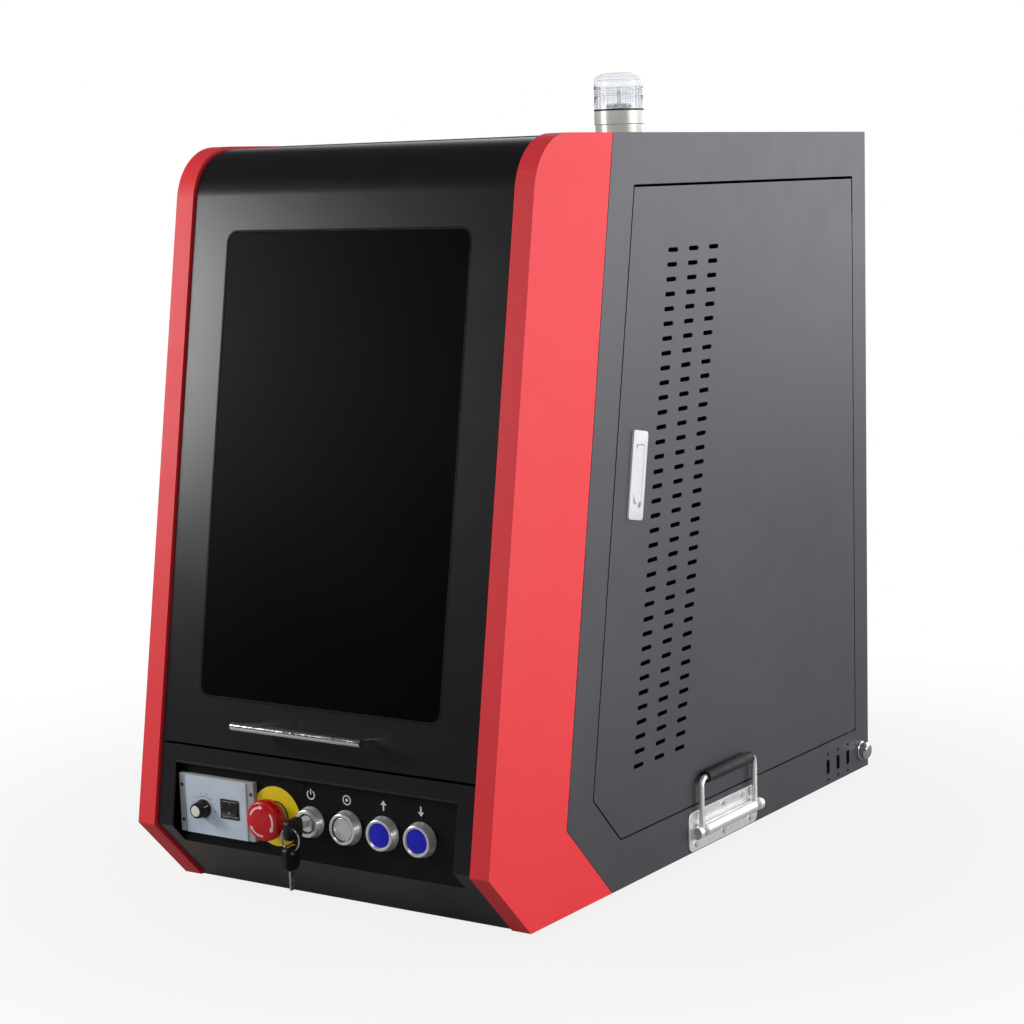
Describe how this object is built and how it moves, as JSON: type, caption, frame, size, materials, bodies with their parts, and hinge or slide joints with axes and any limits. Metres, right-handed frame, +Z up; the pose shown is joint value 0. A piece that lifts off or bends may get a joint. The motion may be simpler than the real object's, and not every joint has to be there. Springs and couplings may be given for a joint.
{
  "type": "enclosed laser marking machine",
  "caption": "Enclosed desktop laser marker with a lift-up front hood, window, control row, emergency stop, key switch, beacon, vented side door and folding handles",
  "frame": {"origin": "centre of the footprint, on the surface the feet stand on", "axes": "+X to the operator's right, +Y from the front to the back, +Z up"},
  "size_m": [0.4592, 0.8156, 0.824],
  "materials": {
    "base_tray": "satin grey powder coat",
    "feet": "matt black rubber",
    "left_cheek": "satin red powder coat",
    "right_cheek": "satin red powder coat",
    "left_side_panel": "fine textured grey powder coat",
    "right_side_panel": "fine textured grey powder coat",
    "roof_panel": "fine textured grey powder coat",
    "rear_panel": "fine textured grey powder coat",
    "lower_front_panel": "satin black powder coat",
    "control_plate": "satin black",
    "screws": "zinc plated",
    "hinge_pins": "bright steel",
    "bulkhead": "light grey",
    "worktable": "anodised",
    "z_column": "anodised",
    "z_motor": "satin black",
    "lead_screw": "ground steel",
    "z_carriage": "dark anodised",
    "galvo_head": "dark anodised",
    "marking_lens": "coated lens in a dark barrel",
    "laser_source": "bare anodised",
    "power_supply": "bare sheet",
    "control_board": "green circuit board",
    "fan_frame": "matt black",
    "fan_rotor": "matt black",
    "power_inlet": "matt black",
    "data_sockets": "matt black",
    "rotary_socket": "polished",
    "beacon_base": "pale satin plastic",
    "beacon_core": "dark grey",
    "beacon_lens": "clear ribbed",
    "hood_shell": "satin black powder coat",
    "window_seal": "grey rubber lip",
    "window_pane": "near black filter",
    "hood_handle": "polished",
    "strut_cylinders": "satin black",
    "strut_rods": "polished",
    "side_door": "fine textured grey powder coat",
    "latch_housing": "satin silver",
    "latch_lever": "satin silver",
    "handle_plates": "zinc plated",
    "right_bail": "zinc plated",
    "right_grip": "matt black rubber",
    "left_bail": "zinc plated",
    "left_grip": "matt black rubber",
    "speed_controller": "pale blue grey face on a grey case",
    "speed_knob": "black with a silver cap",
    "run_rocker": "black",
    "estop_plate": "yellow",
    "estop_collar": "olive cream",
    "estop_stem": "grey",
    "estop_head": "red",
    "control_bezels": "turned",
    "contact_blocks": "black",
    "key_barrel": "polished",
    "control_key": "black bow, steel blade",
    "spare_key": "steel ring and key, black bow",
    "laser_cap": "spun steel",
    "up_cap": "deep blue",
    "down_cap": "deep blue"
  },
  "bodies": {
    "frame": {"base_tray": "base_tray", "feet": "feet", "left_cheek": "left_cheek", "right_cheek": "right_cheek", "left_side_panel": "left_side_panel", "right_side_panel": "right_side_panel", "roof_panel": "roof_panel", "rear_panel": "rear_panel", "lower_front_panel": "lower_front_panel", "control_plate": "control_plate", "screws": "screws", "hinge_pins": "hinge_pins", "bulkhead": "bulkhead", "worktable": "worktable", "z_column": "z_column", "z_motor": "z_motor", "laser_source": "laser_source", "power_supply": "power_supply", "control_board": "control_board", "fan_frame": "fan_frame", "power_inlet": "power_inlet", "data_sockets": "data_sockets", "rotary_socket": "rotary_socket", "beacon_base": "beacon_base", "beacon_core": "beacon_core", "beacon_lens": "beacon_lens", "side_door": "side_door", "latch_housing": "latch_housing", "handle_plates": "handle_plates", "speed_controller": "speed_controller", "estop_plate": "estop_plate", "estop_collar": "estop_collar", "control_bezels": "control_bezels", "contact_blocks": "contact_blocks"},
    "hood": {"hood_shell": "hood_shell", "window_seal": "window_seal", "window_pane": "window_pane", "hood_handle": "hood_handle"},
    "struts": {"strut_cylinders": "strut_cylinders"},
    "strut_rod": {"strut_rods": "strut_rods"},
    "latch": {"latch_lever": "latch_lever"},
    "right_handle": {"right_bail": "right_bail", "right_grip": "right_grip"},
    "left_handle": {"left_bail": "left_bail", "left_grip": "left_grip"},
    "stop_button": {"estop_stem": "estop_stem"},
    "stop_mushroom": {"estop_head": "estop_head"},
    "key": {"key_barrel": "key_barrel", "control_key": "control_key"},
    "key_ring": {"spare_key": "spare_key"},
    "laser_button": {"laser_cap": "laser_cap"},
    "up_button": {"up_cap": "up_cap"},
    "down_button": {"down_cap": "down_cap"},
    "knob": {"speed_knob": "speed_knob"},
    "rocker": {"run_rocker": "run_rocker"},
    "carriage": {"z_carriage": "z_carriage", "galvo_head": "galvo_head", "marking_lens": "marking_lens"},
    "screw": {"lead_screw": "lead_screw"},
    "rotor": {"fan_rotor": "fan_rotor"}
  },
  "joints": [
    {"name": "hood_hinge", "type": "hinge", "parent": "frame", "child": "hood", "pos_m": [0, -0.13917, 0.744], "axis": [-1, 0, 0], "range_deg": [0, 72]},
    {"name": "strut_pivot", "type": "hinge", "parent": "frame", "child": "struts", "pos_m": [0, -0.09517, 0.69], "axis": [-1, 0, 0], "range_deg": [0, 58]},
    {"name": "strut_slide", "type": "slide", "parent": "struts", "child": "strut_rod", "axis": [0, -0.9161, -0.401], "range_m": [0, 0.066]},
    {"name": "latch_swing", "type": "hinge", "parent": "frame", "child": "latch", "pos_m": [0.2125, -0.10605, 0.44642], "axis": [0, 0.9854, -0.1702], "range_deg": [-60, 0], "stiffness_Nm_per_rad": 0.02, "springref_deg": 17.19},
    {"name": "right_handle_swing", "type": "hinge", "parent": "frame", "child": "right_handle", "pos_m": [0.223, 0.05083, 0.0345], "axis": [0, 1, 0], "range_deg": [0, 90], "stiffness_Nm_per_rad": 0.3, "springref_deg": -28.65},
    {"name": "left_handle_swing", "type": "hinge", "parent": "frame", "child": "left_handle", "pos_m": [-0.223, 0.05083, 0.0345], "axis": [0, -1, 0], "range_deg": [0, 90], "stiffness_Nm_per_rad": 0.3, "springref_deg": -28.65},
    {"name": "stop_press", "type": "slide", "parent": "frame", "child": "stop_button", "axis": [0, 1, 0], "range_m": [0, 0.006], "stiffness_N_per_m": 600, "springref_m": -0.004},
    {"name": "stop_twist", "type": "hinge", "parent": "stop_button", "child": "stop_mushroom", "pos_m": [-0.051, -0.37333, 0.103], "axis": [0, 1, 0], "range_deg": [0, 45], "stiffness_Nm_per_rad": 0.02, "springref_deg": -17.19},
    {"name": "key_turn", "type": "hinge", "parent": "frame", "child": "key", "pos_m": [-0.007, -0.36333, 0.103], "axis": [0, 1, 0], "range_deg": [0, 60]},
    {"name": "key_ring_swing", "type": "hinge", "parent": "key", "child": "key_ring", "pos_m": [-0.007, -0.39733, 0.1048], "axis": [1, 0, 0], "range_deg": [-30, 0]},
    {"name": "laser_press", "type": "slide", "parent": "frame", "child": "laser_button", "axis": [0, 1, 0], "range_m": [0, 0.003], "stiffness_N_per_m": 500, "springref_m": -0.004},
    {"name": "up_press", "type": "slide", "parent": "frame", "child": "up_button", "axis": [0, 1, 0], "range_m": [0, 0.003], "stiffness_N_per_m": 500, "springref_m": -0.004},
    {"name": "down_press", "type": "slide", "parent": "frame", "child": "down_button", "axis": [0, 1, 0], "range_m": [0, 0.003], "stiffness_N_per_m": 500, "springref_m": -0.004},
    {"name": "knob_turn", "type": "hinge", "parent": "frame", "child": "knob", "pos_m": [-0.139, -0.36333, 0.1015], "axis": [0, 1, 0], "range_deg": [-150, 90]},
    {"name": "rocker_tilt", "type": "hinge", "parent": "frame", "child": "rocker", "pos_m": [-0.105, -0.36753, 0.1045], "axis": [1, 0, 0], "range_deg": [0, 18]},
    {"name": "carriage_lift", "type": "slide", "parent": "frame", "child": "carriage", "axis": [0, 0, 1], "range_m": [-0.15, 0.12]},
    {"name": "screw_turn", "type": "hinge", "parent": "frame", "child": "screw", "pos_m": [0, -0.09117, 0.112], "axis": [0, 0, 1], "range_deg": [-5400, 4320]},
    {"name": "fan_spin", "type": "hinge", "parent": "frame", "child": "rotor", "pos_m": [0, 0.38483, 0.572], "axis": [0, 1, 0], "continuous": true}
  ],
  "couplings": [
    {"joint": "strut_pivot", "follows": "hood_hinge", "ratio": 0.7904},
    {"joint": "strut_slide", "follows": "hood_hinge", "m_per_rad": 0.05172},
    {"joint": "screw_turn", "follows": "carriage_lift", "rad_per_m": 628.32}
  ]
}
